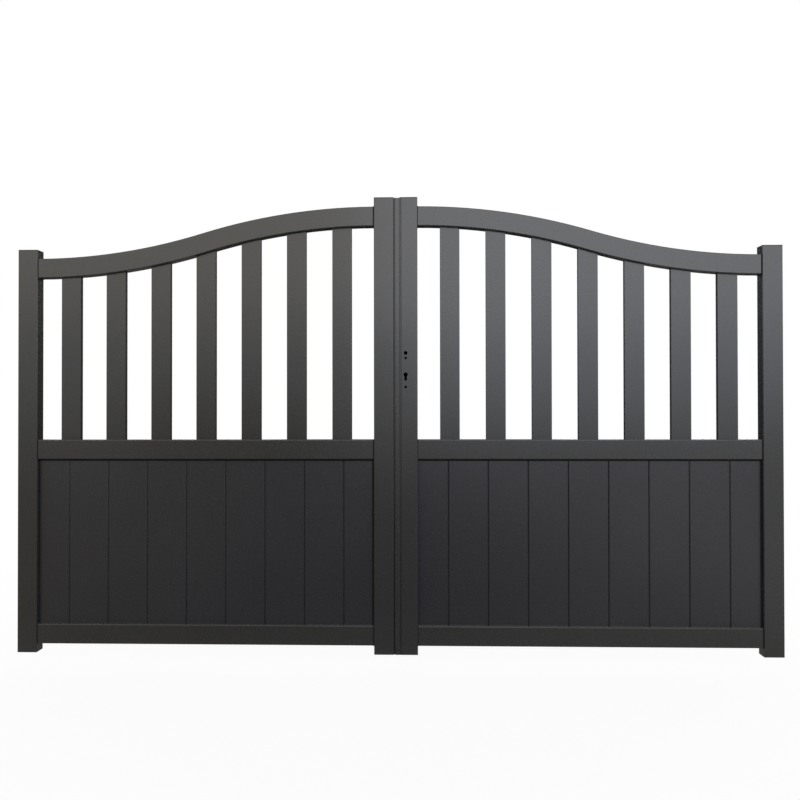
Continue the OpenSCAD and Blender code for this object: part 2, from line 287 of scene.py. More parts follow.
@dataclass(frozen=True)
class MouldedCap:
    """Glass-filled polyamide cap with a spark-eroded mould texture."""

    name: str = "matt moulded polyamide"
    colour: str = "#1d1d1e"
    pale: str = "#29292a"
    roughness: float = 0.62
    ior: float = 1.53
    # Mould texture is about 0.2 mm; it is drawn at 3 mm so that it shows
    grain_mm: float = 3.0
    mottle_mm: float = 30.0
    grain_rise: float = 0.1 * MM
    grain_strength: float = 0.3

    def material(self) -> bpy.types.Material:
        """Build the plastic: matt, with a fine pebble that scatters the light.

        Returns:
            The material.
        """
        material, tree, output, place = new_material(self.name)
        pebble = add_node(
            tree, "ShaderNodeTexVoronoi", {"Vector": place, "Scale": per_metre(self.grain_mm)}
        )
        mottle = add_node(
            tree,
            "ShaderNodeTexNoise",
            {"Vector": place, "Scale": per_metre(self.mottle_mm), "Detail": 3.0},
        )
        blend = add_node(
            tree,
            "ShaderNodeMix",
            {
                "Factor": mottle.outputs["Fac"],
                "A": linear(self.colour),
                "B": linear(self.pale),
            },
            data_type="RGBA",
        )
        bump = add_node(
            tree,
            "ShaderNodeBump",
            {
                "Height": pebble.outputs["Distance"],
                "Strength": self.grain_strength,
                "Distance": self.grain_rise,
            },
        )
        shader = add_node(
            tree,
            "ShaderNodeBsdfPrincipled",
            {
                "Base Color": blend.outputs["Result"],
                "Roughness": self.roughness,
                "IOR": self.ior,
                "Normal": bump.outputs["Normal"],
            },
        )
        tree.links.new(shader.outputs["BSDF"], output.inputs["Surface"])
        return material


@dataclass(frozen=True)
class Rubber:
    """Extruded EPDM rubber with a soft bloom."""

    name: str = "black EPDM rubber"
    colour: str = "#0a0a0b"
    bloom: str = "#121213"
    roughness: float = 0.75
    # Solid rubber has 1.52; it is set lower so that the black beads give back less and keep the
    # painted shade in the seams dark
    ior: float = 1.3
    bloom_mm: float = 18.0
    bloom_rise: float = 0.2 * MM
    bloom_strength: float = 0.15

    def material(self) -> bpy.types.Material:
        """Build the rubber: even and dark, with a faint paler bloom.

        Returns:
            The material.
        """
        material, tree, output, place = new_material(self.name)
        bloom = add_node(
            tree,
            "ShaderNodeTexNoise",
            {"Vector": place, "Scale": per_metre(self.bloom_mm), "Detail": 4.0},
        )
        blend = add_node(
            tree,
            "ShaderNodeMix",
            {
                "Factor": bloom.outputs["Fac"],
                "A": linear(self.colour),
                "B": linear(self.bloom),
            },
            data_type="RGBA",
        )
        bump = add_node(
            tree,
            "ShaderNodeBump",
            {
                "Height": bloom.outputs["Fac"],
                "Strength": self.bloom_strength,
                "Distance": self.bloom_rise,
            },
        )
        shader = add_node(
            tree,
            "ShaderNodeBsdfPrincipled",
            {
                "Base Color": blend.outputs["Result"],
                "Roughness": self.roughness,
                "IOR": self.ior,
                "Normal": bump.outputs["Normal"],
            },
        )
        tree.links.new(shader.outputs["BSDF"], output.inputs["Surface"])
        return material


@dataclass(frozen=True)
class BareMetal:
    """A metal surface with lines or spangle in its finish."""

    name: str
    colour: str
    pale: str
    roughness: float
    # Spacing of the finish's marks, and how much longer they are along Z than across
    mark_mm: float
    stretch: float
    spread: float = 0.1
    mark_rise: float = 0.05 * MM
    mark_strength: float = 0.2

    def material(self) -> bpy.types.Material:
        """Build the metal: its marks change both its tone and its gloss.

        Returns:
            The material.
        """
        material, tree, output, place = new_material(self.name)
        drawn = add_node(
            tree, "ShaderNodeMapping", {"Vector": place, "Scale": (1.0, 1.0, 1.0 / self.stretch)}
        )
        marks = add_node(
            tree,
            "ShaderNodeTexNoise",
            {
                "Vector": drawn.outputs["Vector"],
                "Scale": per_metre(self.mark_mm),
                "Detail": 4.0,
            },
        )
        blend = add_node(
            tree,
            "ShaderNodeMix",
            {
                "Factor": marks.outputs["Fac"],
                "A": linear(self.colour),
                "B": linear(self.pale),
            },
            data_type="RGBA",
        )
        gloss = add_node(
            tree,
            "ShaderNodeMapRange",
            {
                "Value": marks.outputs["Fac"],
                "To Min": self.roughness - self.spread,
                "To Max": self.roughness + self.spread,
            },
        )
        bump = add_node(
            tree,
            "ShaderNodeBump",
            {
                "Height": marks.outputs["Fac"],
                "Strength": self.mark_strength,
                "Distance": self.mark_rise,
            },
        )
        shader = add_node(
            tree,
            "ShaderNodeBsdfPrincipled",
            {
                "Base Color": blend.outputs["Result"],
                "Metallic": 1.0,
                "Roughness": gloss.outputs["Result"],
                "Normal": bump.outputs["Normal"],
            },
        )
        tree.links.new(shader.outputs["BSDF"], output.inputs["Surface"])
        return material


class Finish(Enum):
    """The finishes of the gate's pieces."""

    # Gate extrusions and everything sprayed with them
    COAT = PowderCoat()
    # The boards get a copy of the coat a shade darker and bluer than the frame
    BOARD_COAT = PowderCoat(
        name="satin slate grey powder coat",
        colour="#26262a",
        pale="#2d2d31",
    )
    # The hinges are coated separately and are a little duller
    HINGE_COAT = PowderCoat(
        name="dark grey powder-coated steel",
        colour="#232425",
        pale="#2b2c2d",
        dust="#3a3a3a",
        roughness=0.42,
        spread=0.06,
        grain_mm=4.0,
        wave_mm=60.0,
        pass_mm=200.0,
    )
    # The lock's case has a dead matt black; it is made near black and dull so that it also paints
    # the shade inside the holes, and stays dark there
    BLACKING = PowderCoat(
        name="matt blackened steel",
        colour="#040404",
        pale="#070707",
        dust="#0a0a0a",
        roughness=0.8,
        spread=0.05,
        ior=1.15,
        grain_mm=3.0,
        wave_mm=40.0,
        pass_mm=100.0,
    )
    # The caps are matt and a little darker than the coat
    CAP = MouldedCap()
    # The beads and gaskets are near black and show as the dark lines of the joints; the beads and
    # the strip's end cap also paint the shade beside the boards and the shadows under the middle
    # rail and the strip's end
    RUBBER = Rubber()
    # The seals at the meeting edge are dyed to go with the coat, and drawn to its gloss
    GREY_RUBBER = Rubber(
        name="grey EPDM rubber",
        colour="#1f1f20",
        bloom="#262627",
        roughness=0.27,
        ior=1.52,
    )
    # Brushed along its length, so it shows fine vertical lines
    BRUSHED = BareMetal(
        name="brushed stainless steel",
        colour="#8d8d8b",
        pale="#b4b4b1",
        roughness=0.36,
        mark_mm=1.2,
        stretch=40.0,
    )
    # Zinc plate has a soft mottled shine
    ZINC = BareMetal(
        name="bright zinc-plated steel",
        colour="#8e9092",
        pale="#b9bbbd",
        roughness=0.34,
        mark_mm=4.0,
        stretch=1.0,
    )


# What isn't sprayed with the frame of a leaf
NODE_FINISHES = {
    "boards": Finish.BOARD_COAT,
    "stile_caps": Finish.CAP,
    "hinge_eyes": Finish.HINGE_COAT,
    "lock_keep": Finish.BRUSHED,
    "lock_case": Finish.BLACKING,
}


class Bench:
    """Edit-mode work that the pieces share."""

    @staticmethod
    def clear() -> None:
        """Leave edit mode and deselect everything."""
        if bpy.context.mode != "OBJECT":
            bpy.ops.object.mode_set(mode="OBJECT")
        bpy.ops.object.select_all(action="DESELECT")

    @staticmethod
    def faces_at(
        obj: bpy.types.Object, axis: int, value: float, slack: float = 0.01 * MM
    ) -> None:
        """Select, in edit mode, only the faces whose middle lies at a place along one axis.

        Args:
            obj: The object in edit mode.
            axis: 0, 1 or 2 for X, Y or Z.
            value: The place in metres.
            slack: How far a face's middle may lie from it.
        """
        bpy.ops.mesh.select_all(action="DESELECT")
        bpy.ops.mesh.select_mode(type="FACE")
        bpy.ops.object.mode_set(mode="OBJECT")
        for face in obj.data.polygons:
            face.select = abs(face.center[axis] - value) < slack
        bpy.ops.object.mode_set(mode="EDIT")

    @staticmethod
    def finish(obj: bpy.types.Object, name: str, angle: float = 40.0) -> bpy.types.Object:
        """Leave edit mode, turn the faces outwards and smooth what is round.

        Args:
            obj: The object that was modelled.
            name: The piece's name.
            angle: Edges flatter than this many degrees are smoothed.

        Returns:
            The same object.
        """
        bpy.ops.mesh.select_all(action="SELECT")
        bpy.ops.mesh.remove_doubles(threshold=MERGE)
        bpy.ops.mesh.normals_make_consistent(inside=False)
        bpy.ops.object.mode_set(mode="OBJECT")
        bpy.ops.object.transform_apply(location=True, rotation=True, scale=True)
        bpy.ops.object.shade_smooth_by_angle(angle=math.radians(angle))
        obj.name = name
        LOG.info("%s modelled", name)
        return obj

    @staticmethod
    def copy(pattern: bpy.types.Object, name: str, place: Matrix) -> bpy.types.Object:
        """Copy a modelled piece, with a mesh of its own that holds its place.

        Args:
            pattern: The piece that was modelled once, at the origin.
            name: The copy's name.
            place: Where the copy goes.

        Returns:
            The copy, whose object sits at the origin.
        """
        copy = pattern.copy()
        copy.data = pattern.data.copy()
        copy.data.transform(place)
        copy.name = name
        bpy.context.scene.collection.objects.link(copy)
        LOG.info("%s copied", name)
        return copy


def dress(obj: bpy.types.Object, material: bpy.types.Material) -> None:
    """Give an object one material.

    Args:
        obj: A CAD node or a new piece.
        material: Its finish.
    """
    obj.data.materials.clear()
    obj.data.materials.append(material)


@dataclass
class HexBolt:
    """A hexagon bolt's head on its washer, with the axis along Z and the washer's foot at zero."""

    flats: float
    head: float
    washer: float
    washer_t: float
    facets: int = 40
    # Shares of the washer's thickness, of the width across flats (two) and of the head's height
    washer_bevel: float = 0.12
    corner_turn: float = 0.1
    dish_rim: float = 0.16
    dish_depth: float = 0.06

    def build(self) -> bpy.types.Object:
        """Model the bolt head and its washer once.

        Returns:
            The piece to copy.
        """
        Bench.clear()
        bpy.ops.mesh.primitive_circle_add(
            vertices=self.facets, radius=self.washer / 2, fill_type="NGON"
        )
        obj = bpy.context.object
        bpy.ops.object.mode_set(mode="EDIT")
        bpy.ops.mesh.select_all(action="SELECT")
        bpy.ops.mesh.extrude_region_move(TRANSFORM_OT_translate={"value": (0, 0, self.washer_t)})
        Bench.faces_at(obj, 2, self.washer_t)
        bpy.ops.mesh.bevel(offset=self.washer_bevel * self.washer_t, segments=2, affect="EDGES")
        bpy.ops.mesh.select_all(action="DESELECT")
        # The hexagon stands on the washer, and its corners are turned off at the top
        top = self.washer_t + self.head
        bpy.ops.mesh.primitive_circle_add(
            vertices=6,
            radius=self.flats / math.sqrt(3),
            fill_type="NGON",
            location=(0, 0, self.washer_t),
        )
        bpy.ops.mesh.extrude_region_move(TRANSFORM_OT_translate={"value": (0, 0, self.head)})
        Bench.faces_at(obj, 2, top)
        bpy.ops.mesh.bevel(
            offset=self.corner_turn * self.flats, segments=3, profile=0.6, affect="EDGES"
        )
        Bench.faces_at(obj, 2, top)
        bpy.ops.mesh.inset(
            thickness=self.dish_rim * self.flats, depth=-self.dish_depth * self.head
        )
        return Bench.finish(obj, "hex_bolt_pattern")


@dataclass
class SunkScrew:
    """A countersunk screw's head with a round recess, its axis along Z and the plate at zero."""

    head: float
    stand: float = 0.35 * MM
    facets: int = 32
    # Shares of the head's width, and the crown's of how far the head stands out
    rim: float = 0.12
    crown: float = 0.3
    recess_rim: float = 0.14

    def build(self) -> bpy.types.Object:
        """Model the screw head once.

        Returns:
            The piece to copy.
        """
        Bench.clear()
        bpy.ops.mesh.primitive_circle_add(
            vertices=self.facets,
            radius=self.head / 2,
            fill_type="NGON",
            location=(0, 0, -self.stand),
        )
        obj = bpy.context.object
        bpy.ops.object.mode_set(mode="EDIT")
        bpy.ops.mesh.select_all(action="SELECT")
        bpy.ops.mesh.extrude_region_move(TRANSFORM_OT_translate={"value": (0, 0, 2 * self.stand)})
        Bench.faces_at(obj, 2, self.stand, 2 * self.stand)
        bpy.ops.mesh.inset(thickness=self.rim * self.head, depth=self.crown * self.stand)
        bpy.ops.mesh.inset(thickness=self.recess_rim * self.head, depth=-self.stand)
        return Bench.finish(obj, "sunk_screw_pattern")


@dataclass
class BulbSeal:
    """Soft bulb on the meeting strip's edge that closes the gap between the leaves at the back."""

    x: float
    y: float
    foot: float
    low: float
    high: float
    reach: float = 4.5 * MM
    wall: float = 1.1 * MM
    facets: int = 20

    def build(self, name: str, material: bpy.types.Material) -> bpy.types.Object:
        """Model the seal: a flat foot with a round bulb on it, drawn up the strip.

        Args:
            name: The piece's name.
            material: Its rubber.

        Returns:
            The piece.
        """
        Bench.clear()
        radius = (self.reach - self.wall / 2) / 2
        drawn_up = {"value": (0, 0, self.high - self.low)}
        bpy.ops.mesh.primitive_circle_add(
            vertices=self.facets,
            radius=radius,
            fill_type="NGON",
            location=(self.x + self.reach - radius, self.y, self.low),
        )
        obj = bpy.context.object
        bpy.ops.object.mode_set(mode="EDIT")
        bpy.ops.mesh.select_all(action="SELECT")
        bpy.ops.mesh.extrude_region_move(TRANSFORM_OT_translate=drawn_up)
        bpy.ops.mesh.select_all(action="DESELECT")
        bpy.ops.mesh.primitive_plane_add(
            size=1.0, location=(self.x + self.wall / 2, self.y, self.low)
        )
        bpy.ops.transform.resize(value=(self.wall, self.foot, 1.0))
        bpy.ops.mesh.extrude_region_move(TRANSFORM_OT_translate=drawn_up)
        piece = Bench.finish(obj, name)
        dress(piece, material)
        return piece


@dataclass
class Bar:
    """A straight bar that fills a box, with a rounded face towards the front."""

    low: Vector
    high: Vector
    corner: float = 0.8 * MM
    # Smaller than the turn between two facets, so that the long flat faces keep their own shading
    smooth_angle: float = 10.0

    def build(self, name: str, material: bpy.types.Material) -> bpy.types.Object:
        """Model the bar from a plane, drawn up and rounded at its front edges.

        Args:
            name: The piece's name.
            material: Its finish.

        Returns:
            The piece.
        """
        Bench.clear()
        bpy.ops.mesh.primitive_plane_add(size=1.0, location=(self.low + self.high) / 2)
        obj = bpy.context.object
        bpy.ops.object.mode_set(mode="EDIT")
        bpy.ops.mesh.select_all(action="SELECT")
        size = self.high - self.low
        bpy.ops.transform.resize(value=(size.x, size.y, 1.0))
        bpy.ops.transform.translate(value=(0, 0, -size.z / 2))
        bpy.ops.mesh.extrude_region_move(TRANSFORM_OT_translate={"value": (0, 0, size.z)})
        Bench.faces_at(obj, 1, -size.y / 2)
        bpy.ops.mesh.bevel(offset=self.corner, segments=3, affect="EDGES")
        piece = Bench.finish(obj, name, self.smooth_angle)
        dress(piece, material)
        return piece


@dataclass
class Leaf:
    """One leaf: its nodes' finishes, the black beads round its boards, which also paint the shade
    of the gaps there, and the gaskets at its rails.
    """

    side: Side
    nodes: dict[str, bpy.types.Object]
    bead_w: float = 3.5 * MM
    bead_d: float = 2.5 * MM
    upper_w: float = 7.5 * MM
    # Boards and rails sit tight against the stile on their left
    tight_w: float = 1.4 * MM
    # The left leaf's boards are a loose fit on their right, and the wider black bead there paints
    # the shade in that gap
    loose_w: float = 8 * MM
    gasket_w: float = 3.8 * MM

    def dress(self, finishes: dict[Finish, bpy.types.Material]) -> None:
        """Give each node of the leaf the finish of the piece it is.

        Args:
            finishes: The materials.
        """
        for name, obj in self.nodes.items():
            if not name.startswith(self.side.key) or "bracket" in name:
                continue
            kind = name.removeprefix(self.side.key + "_")
            finish = NODE_FINISHES.get(kind, Finish.COAT)
            dress(obj, finishes[finish])
            LOG.info("%s dressed in %s", name, finish.value.name)

    def build(self, rubber: bpy.types.Material) -> None:
        """Bed the boards in black rubber beads along the two stiles and under the middle rail,
        which paint the shade beside the boards and the shadow under the middle rail.

        Args:
            rubber: The beads' rubber.
        """
        key = self.side.key
        boards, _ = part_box(f"{key}_boards")
        bottom_low, bottom_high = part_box(f"{key}_bottom_rail")
        middle_low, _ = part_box(f"{key}_middle_rail")
        x0, x1 = bottom_low.x, bottom_high.x
        front, back = boards.y - self.bead_d, boards.y
        z0, z1 = bottom_high.z, middle_low.z
        left_x = x0 + self.tight_w
        right_x = x1 - (self.loose_w if self.side is Side.LEFT else self.bead_w)
        places = {
            "left": (Vector((x0, front, z0)), Vector((left_x, back, z1))),
            "right": (Vector((right_x, front, z0)), Vector((x1, back, z1))),
            "upper": (Vector((left_x, front, z1 - self.upper_w)), Vector((right_x, back, z1))),
        }
        # The near-black beads are painted shade: the gaps beside the boards and the shadow under
        # the middle rail
        for name, (low, high) in places.items():
            piece = Bar(low, high).build(f"{key}_{name}_bead", rubber)
            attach(piece, self.side.body)

    def seal_joints(self, rubber: bpy.types.Material) -> None:
        """Lay a gasket in the step where each rail meets a stile, at the front and at the back.

        Args:
            rubber: The gaskets' rubber.
        """
        key = self.side.key
        middle_low, middle_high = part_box(f"{key}_middle_rail")
        rail_h = middle_high.z - middle_low.z
        half = Vector((self.gasket_w, self.bead_d, rail_h)) / 2
        pattern = Bar(-half, half).build("gasket_pattern", rubber)
        for rail in ("top_rail", "middle_rail", "bottom_rail"):
            low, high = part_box(f"{key}_{rail}")
            # The top rail climbs from its hanging end to its meeting end
            left_z, right_z = low.z + rail_h / 2, high.z - rail_h / 2
            if self.side is Side.RIGHT:
                left_z, right_z = right_z, left_z
            ends = (
                ("left", low.x + self.tight_w / 2, left_z, self.tight_w),
                ("right", high.x - half.x, right_z, self.gasket_w),
            )
            faces = (("front", low.y - half.y, 0.0), ("back", high.y + half.y, math.pi))
            for end, x, z, width in ends:
                narrow = Matrix.Diagonal((width / self.gasket_w, 1, 1, 1))
                for face, y, turn in faces:
                    place = Matrix.Translation((x, y, z)) @ Matrix.Rotation(turn, 4, "Z") @ narrow
                    piece = Bench.copy(pattern, f"{key}_{rail}_{end}_{face}_gasket", place)
                    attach(piece, self.side.body)
        bpy.data.objects.remove(pattern)


@dataclass
class Hinge:
    """One hinge: the pillar bracket, the eye on the stile and their bolts."""

    side: Side
    level: Level
    # The plate's anchors and the strap's bolts, from the middle of the plate's face
    anchor_y: float = 22 * MM
    anchor_z: float = 70 * MM
    plate_t: float = 6 * MM
    strap_z: float = 25 * MM
    strap_back: float = 39 * MM
    # The stile stands off the pillar, and the strap's bolts lie this far in from its edge
    stile_in: float = 25 * MM
    strap_in: float = 47 * MM

    @property
    def bracket(self) -> str:
        """Name of the bracket's node."""
        return f"{self.side.key}_{self.level.value}_bracket"

    def build(self, anchor: bpy.types.Object, strap: bpy.types.Object) -> None:
        """Set the anchors in the plate and the bolts in the strap.

        Args:
            anchor: The bolt for the plate.
            strap: The bolt for the strap.
        """
        low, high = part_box(self.bracket)
        middle = (low.z + high.z) / 2
        face = low.x if self.side is Side.LEFT else high.x
        inward = float(self.side.value)
        out = Matrix.Rotation(math.radians(90 * inward), 4, "Y")
        x = face + inward * self.plate_t
        for row, z in enumerate((-self.anchor_z, self.anchor_z)):
            for column, y in enumerate((-self.anchor_y, self.anchor_y)):
                place = Matrix.Translation((x, y, middle + z)) @ out
                piece = Bench.copy(anchor, f"{self.bracket}_anchor_{row}{column}", place)
                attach(piece, "hinge_brackets")
        back = Matrix.Rotation(math.radians(-90), 4, "X")
        x = face + inward * (self.stile_in + self.strap_in)
        for row, z in enumerate((-self.strap_z, self.strap_z)):
            place = Matrix.Translation((x, -self.strap_back, middle + z)) @ back
            name = f"{self.side.key}_{self.level.value}_strap_bolt_{row}"
            piece = Bench.copy(strap, name, place)
            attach(piece, self.side.body)

    def dress(
        self, nodes: dict[str, bpy.types.Object], finishes: dict[Finish, bpy.types.Material]
    ) -> None:
        """Coat the bracket.

        Args:
            nodes: The CAD nodes by name.
            finishes: The materials.
        """
        dress(nodes[self.bracket], finishes[Finish.HINGE_COAT])
        LOG.info("%s dressed in %s", self.bracket, Finish.HINGE_COAT.value.name)


@dataclass
class MeetingEdge:
    """What closes and locks the two leaves together."""

    # The soft lip in the gap at the front, and the bulb behind it
    lip_in: float = 0.1 * MM
    lip_d: float = 6 * MM
    lip_reach: float = 4.95 * MM
    seal_in: float = 40 * MM
    seal_foot: float = 7 * MM
    seal_end: float = 0.1 * MM
    # The shadow groove beside the strip's face, and the rubber in it
    groove_w: float = 4 * MM
    groove_d: float = 9 * MM
    bed_t: float = 1.5 * MM
    bed_gap: float = 0.2 * MM
    plug_in: float = 5 * MM
    # The strip's face ends this far above its foot, on a black rubber cap that also paints the
    # shadow below the strip's end
    strip_low: float = 21 * MM
    end_cap_h: float = 3 * MM
    corner: float = 0.4 * MM
    # How far the screws lie from the ends of the lock's plate and of its keep
    lock_screw: float = 9 * MM
    keep_screw: float = 12 * MM

    def build(
        self, finishes: dict[Finish, bpy.types.Material], screw: bpy.types.Object
    ) -> None:
        """Fit the seals and the screws of the lock's plate and of its keep.

        Args:
            finishes: The materials.
            screw: The screw to copy.
        """
        low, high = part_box("left_meeting_strip")
        stile_low, stile_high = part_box("left_meeting_stile")
        bottom, top = low.z + self.seal_end, high.z - self.seal_end
        lip_y = stile_low.y + self.lip_in
        lip = Bar(
            Vector((high.x, lip_y, bottom)),
            Vector((high.x + self.lip_reach, lip_y + self.lip_d, top)),
            self.corner,
        )
        bulb = BulbSeal(high.x, stile_low.y + self.seal_in, self.seal_foot, bottom, top)
        # The strip's face stands off the stile; rubber floors the groove between them, and a plug
        # closes it below
        x0, x1 = stile_high.x + self.bed_gap, stile_high.x + self.groove_w - self.bed_gap
        floor_y = stile_low.y + self.groove_d
        foot_z = low.z + self.strip_low
        bed = Bar(
            Vector((x0, floor_y - self.bed_t, foot_z)),
            Vector((x1, floor_y, top)),
            self.corner,
        )
        plug = Bar(
            Vector((x0, stile_low.y + self.plug_in, bottom)),
            Vector((x1, floor_y, foot_z)),
            self.corner,
        )
        # The black rubber of this cap paints the shadow line below the strip's end
        end_cap_and_shadow = Bar(
            Vector((stile_high.x + self.groove_w, low.y, foot_z - self.end_cap_h)),
            Vector((high.x, stile_low.y, foot_z)),
            self.corner,
        )
        for seal, name, finish in (
            (lip, "meeting_front_lip", Finish.GREY_RUBBER),
            (bulb, "meeting_bulb_seal", Finish.GREY_RUBBER),
            (bed, "groove_bed", Finish.GREY_RUBBER),
            (plug, "groove_plug", Finish.RUBBER),
            (end_cap_and_shadow, "strip_end_cap", Finish.RUBBER),
        ):
            piece = seal.build(name, finishes[finish])
            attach(piece, Side.LEFT.body)
        for node, side, inset, turn in (
            ("left_lock_keep", Side.LEFT, self.keep_screw, 90),
            ("right_lock_case", Side.RIGHT, self.lock_screw, -90),
        ):
            low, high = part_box(node)
            face = high.x if side is Side.LEFT else low.x
            out = Matrix.Rotation(math.radians(turn), 4, "Y")
            for row, z in enumerate((low.z + inset, high.z - inset)):
                place = Matrix.Translation((face, (low.y + high.y) / 2, z)) @ out
                piece = Bench.copy(screw, f"{node}_screw_{row}", place)
                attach(piece, side.body)


def seen_directly(tree: bpy.types.NodeTree) -> bpy.types.NodeSocket:
    """Add nodes that give one for a ray that shows the background, and zero for light.

    Args:
        tree: The tree that gets them.

    Returns:
        The socket with that number.
    """
    path = add_node(tree, "ShaderNodeLightPath")
    seen = path.outputs["Is Camera Ray"]
    for name in ("Is Glossy Ray", "Is Transmission Ray"):
        larger = add_node(
            tree, "ShaderNodeMath", {0: seen, 1: path.outputs[name]}, operation="MAXIMUM"
        )
        seen = larger.outputs["Value"]
    return seen


@dataclass(frozen=True)
class PaleFloor:
    """Matt painted floor that runs out into the white background."""

    name: str = "pale matt floor"
    colour: str = "#f2f2f0"
    pale: str = "#f6f6f5"
    speck_mm: float = 700.0
    # The shadow lies near the gate: how far out the white starts to grow, and where it is full
    white_from: float = 1.0
    white_to: float = 3.2
    white_least: float = 0.93

    def material(self) -> bpy.types.Material:
        """Build the floor: pale and matt, with a soft shadow near the gate.

        Returns:
            The material.
        """
        material, tree, output, place = new_material(self.name)
        speck = add_node(
            tree,
            "ShaderNodeTexNoise",
            {"Vector": place, "Scale": per_metre(self.speck_mm), "Detail": 3.0},
        )
        shade = add_node(
            tree,
            "ShaderNodeMix",
            {
                "Factor": speck.outputs["Fac"],
                "A": linear(self.colour),
                "B": linear(self.pale),
            },
            data_type="RGBA",
        )
        matt = add_node(tree, "ShaderNodeBsdfDiffuse", {"Color": shade.outputs["Result"]})
        white = add_node(tree, "ShaderNodeEmission", {"Color": linear(WHITE), "Strength": 1.0})
        away = add_node(tree, "ShaderNodeVectorMath", {0: place}, operation="LENGTH")
        plain = add_node(
            tree,
            "ShaderNodeMapRange",
            {
                "Value": away.outputs["Value"],
                "From Min": self.white_from,
                "From Max": self.white_to,
                "To Min": self.white_least,
                "To Max": 1.0,
            },
        )
        part = add_node(
            tree,
            "ShaderNodeMath",
            {0: seen_directly(tree), 1: plain.outputs["Result"]},
            operation="MULTIPLY",
        )
        mixed = add_node(
            tree,
            "ShaderNodeMixShader",
            {0: part.outputs["Value"], 1: matt.outputs["BSDF"], 2: white.outputs["Emission"]},
        )
        tree.links.new(mixed.outputs["Shader"], output.inputs["Surface"])
        return material


@dataclass(frozen=True)
class FlagCloth:
    """Dyed cotton: dark in the middle, brown to the left, pale to the right and by the gate."""

    name: str = "dyed cotton flag"
    left: str = "#a99b80"
    middle: str = "#2c2a29"
    right: str = "#e6e4dc"
    near: str = "#cdc5ba"
    behind: str = "#b4b2ae"
    # The dye runs this far to each side, and its three shades are pure at these shares of the way
    reach: float = 3.0
    left_at: float = 0.1
    middle_at: float = 0.5
    right_at: float = 0.9
    # The cloth by the gate is faded by this share, less and less between these distances
    near_most: float = 0.8
    near_from: float = 0.1
    near_to: float = 0.9
    # Behind the gate it turns to one shade between these distances
    behind_from: float = 0.2
    behind_to: float = 0.8

    def material(self) -> bpy.types.Material:
        """Dye the cloth.

        Returns:
            The material.
        """
        material, tree, output, place = new_material(self.name)
        apart = add_node(tree, "ShaderNodeSeparateXYZ", {"Vector": place})
        across = add_node(
            tree,
            "ShaderNodeMapRange",
            {"Value": apart.outputs["X"], "From Min": -self.reach, "From Max": self.reach},
        )
        dye = add_node(tree, "ShaderNodeValToRGB", {"Fac": across.outputs["Result"]})
        ramp = dye.color_ramp.elements
        ramp[0].position, ramp[0].color = self.left_at, linear(self.left)
        ramp[1].position, ramp[1].color = self.right_at, linear(self.right)
        ramp.new(self.middle_at).color = linear(self.middle)
        off = add_node(tree, "ShaderNodeMath", {0: apart.outputs["Y"]}, operation="ABSOLUTE")
        near = add_node(
            tree,
            "ShaderNodeMapRange",
            {
                "Value": off.outputs["Value"],
                "From Min": self.near_from,
                "From Max": self.near_to,
                "To Min": self.near_most,
                "To Max": 0.0,
            },
        )
        faded = add_node(
            tree,
            "ShaderNodeMix",
            {
                "Factor": near.outputs["Result"],
                "A": dye.outputs["Color"],
                "B": linear(self.near),
            },
            data_type="RGBA",
        )
        behind = add_node(
            tree,
            "ShaderNodeMapRange",
            {
                "Value": apart.outputs["Y"],
                "From Min": self.behind_from,
                "From Max": self.behind_to,
            },
        )
        bleached = add_node(
            tree,
            "ShaderNodeMix",
            {
                "Factor": behind.outputs["Result"],
                "A": faded.outputs["Result"],
                "B": linear(self.behind),
            },
            data_type="RGBA",
        )
        matt = add_node(tree, "ShaderNodeBsdfDiffuse", {"Color": bleached.outputs["Result"]})
        tree.links.new(matt.outputs["BSDF"], output.inputs["Surface"])
        return material


@dataclass(frozen=True)
class Velvet:
    """Black velvet, which gives back next to nothing."""

    name: str = "black velvet screen"
    colour: str = "#0b0b0b"

    def material(self) -> bpy.types.Material:
        """Build the velvet.

        Returns:
            The material.
        """
        material, tree, output, _ = new_material(self.name)
        matt = add_node(tree, "ShaderNodeBsdfDiffuse", {"Color": linear(self.colour)})
        tree.links.new(matt.outputs["BSDF"], output.inputs["Surface"])
        return material


@dataclass(frozen=True)
class Flag:
    """A sheet that only reflections see, placed from the middle of the gate on the floor."""

    name: str
    finish: FlagCloth | Velvet
    place: tuple[float, float, float]
    width: float
    height: float
    # Upright, unless it lies on the floor
    tilt: float = 90.0

    def build(self, material: bpy.types.Material, foot: Vector) -> None:
        """Put up the flag.

        Args:
            material: Its cloth.
            foot: The middle of the gate, on the floor.
        """
        Bench.clear()
        bpy.ops.mesh.primitive_plane_add(size=1.0)
        obj = bpy.context.object
        obj.name = self.name
        turn = Matrix.Rotation(math.radians(self.tilt), 4, "X")
        size = Matrix.Diagonal((self.width, self.height, 1, 1))
        obj.data.transform(Matrix.Translation(self.place) @ turn @ size)
        obj.location = foot
        dress(obj, material)
        obj.visible_camera = False
        obj.visible_shadow = False
        obj.visible_diffuse = False
        obj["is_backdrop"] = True


@dataclass(frozen=True)
class SoftBox:
    """A lamp behind cloth, placed from the middle of the gate on the floor."""

    name: str
    place: tuple[float, float, float]
    width: float
    height: float
    # How bright its face is, and the colour of its cloth
    radiance: float
    colour: str
    # Degrees about the vertical; zero faces the gate's front squarely
    turn: float = 0.0

    def build(self, foot: Vector) -> None:
        """Hang the soft box.

        Args:
            foot: The middle of the gate, on the floor.
        """
        data = bpy.data.lights.new(self.name, "AREA")
        data.shape = "RECTANGLE"
        data.size, data.size_y = self.width, self.height
        data.energy = self.radiance * math.pi * self.width * self.height
        data.color = linear(self.colour)[:3]
        lamp = bpy.data.objects.new(self.name, data)
        lamp.location = foot + Vector(self.place)
        lamp.rotation_euler = (math.radians(90), 0, math.radians(self.turn))
        lamp.visible_camera = False
        bpy.context.scene.collection.objects.link(lamp)


